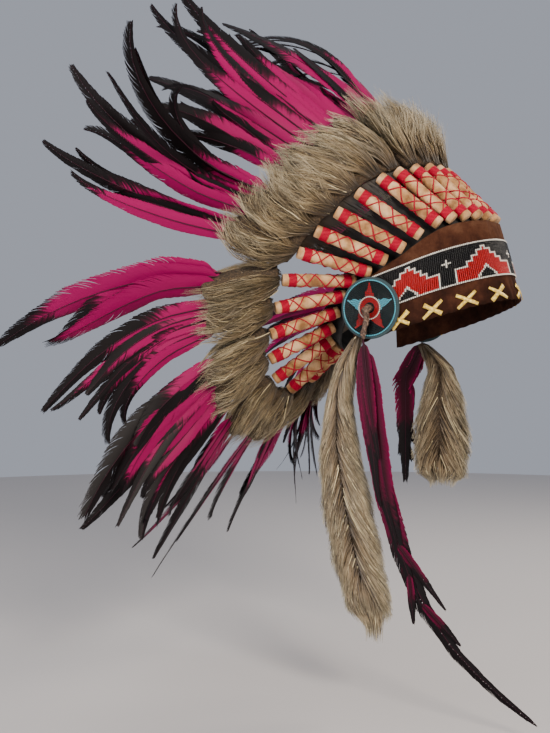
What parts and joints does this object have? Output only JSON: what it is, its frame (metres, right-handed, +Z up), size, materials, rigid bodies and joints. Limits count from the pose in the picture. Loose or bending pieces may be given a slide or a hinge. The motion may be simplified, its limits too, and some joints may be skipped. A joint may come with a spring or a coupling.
{
  "type": "feathered headdress",
  "caption": "Feathered headdress: suede brow band with a beaded strip, felt-wrapped quills, fur tufts, dyed cock feathers, beaded rosettes and hanging fur and feather drops.",
  "frame": {"origin": "middle of the head opening at the height of the rosettes' upper half, where the band sits on the head", "axes": "+Z up through the crown; the wearer looks along -Y and the wearer's right is at -X"},
  "size_m": [0.6406, 0.5927, 0.8423],
  "materials": {
    "brow_band": "rough suede",
    "bead_strip": "woven seed beads in red, black and white",
    "crown_strip": "thick felt",
    "felt_wrap": "tan felt tied with red thread",
    "fur": "long tan goat-like fur",
    "plumes": "cock tail feathers, dyed pink to black tips",
    "rosette": "seed beads on a dark suede disc",
    "tie_leather": "twisted lace",
    "drop_fur": "long tan fur with a parting",
    "drop_feather": "cock tail feathers, maroon with dark middles"
  },
  "bodies": {
    "root": {"brow_band": "brow_band", "bead_strip": "bead_strip", "crown_strip": "crown_strip", "wrap_centre": "felt_wrap", "wrap_nape": "felt_wrap", "wrap_right_01": "felt_wrap", "wrap_right_02": "felt_wrap", "wrap_right_03": "felt_wrap", "wrap_right_04": "felt_wrap", "wrap_right_05": "felt_wrap", "wrap_right_06": "felt_wrap", "wrap_right_07": "felt_wrap", "wrap_right_08": "felt_wrap", "wrap_right_09": "felt_wrap", "wrap_right_10": "felt_wrap", "wrap_right_11": "felt_wrap", "wrap_right_12": "felt_wrap", "wrap_right_13": "felt_wrap", "wrap_right_14": "felt_wrap", "wrap_left_01": "felt_wrap", "wrap_left_02": "felt_wrap", "wrap_left_03": "felt_wrap", "wrap_left_04": "felt_wrap", "wrap_left_05": "felt_wrap", "wrap_left_06": "felt_wrap", "wrap_left_07": "felt_wrap", "wrap_left_08": "felt_wrap", "wrap_left_09": "felt_wrap", "wrap_left_10": "felt_wrap", "wrap_left_11": "felt_wrap", "wrap_left_12": "felt_wrap", "wrap_left_13": "felt_wrap", "wrap_left_14": "felt_wrap", "fur_centre": "fur", "plumes_centre": "plumes", "fur_tail": "fur", "plumes_tail": "plumes", "fur_side_right": "fur", "plumes_side_right": "plumes", "fur_side_left": "fur", "plumes_side_left": "plumes", "fur_low_right": "fur", "plumes_low_right": "plumes", "fur_low_left": "fur", "plumes_low_left": "plumes", "fur_nape_right": "fur", "plumes_nape_right": "plumes", "fur_nape_left": "fur", "plumes_nape_left": "plumes", "rosette_right": "rosette", "tie_right": "tie_leather", "fur_drop_right": "drop_fur", "feather_drop_right": "drop_feather", "rosette_left": "rosette", "tie_left": "tie_leather", "fur_drop_left": "drop_fur", "feather_drop_left": "drop_feather"}
  },
  "joints": []
}
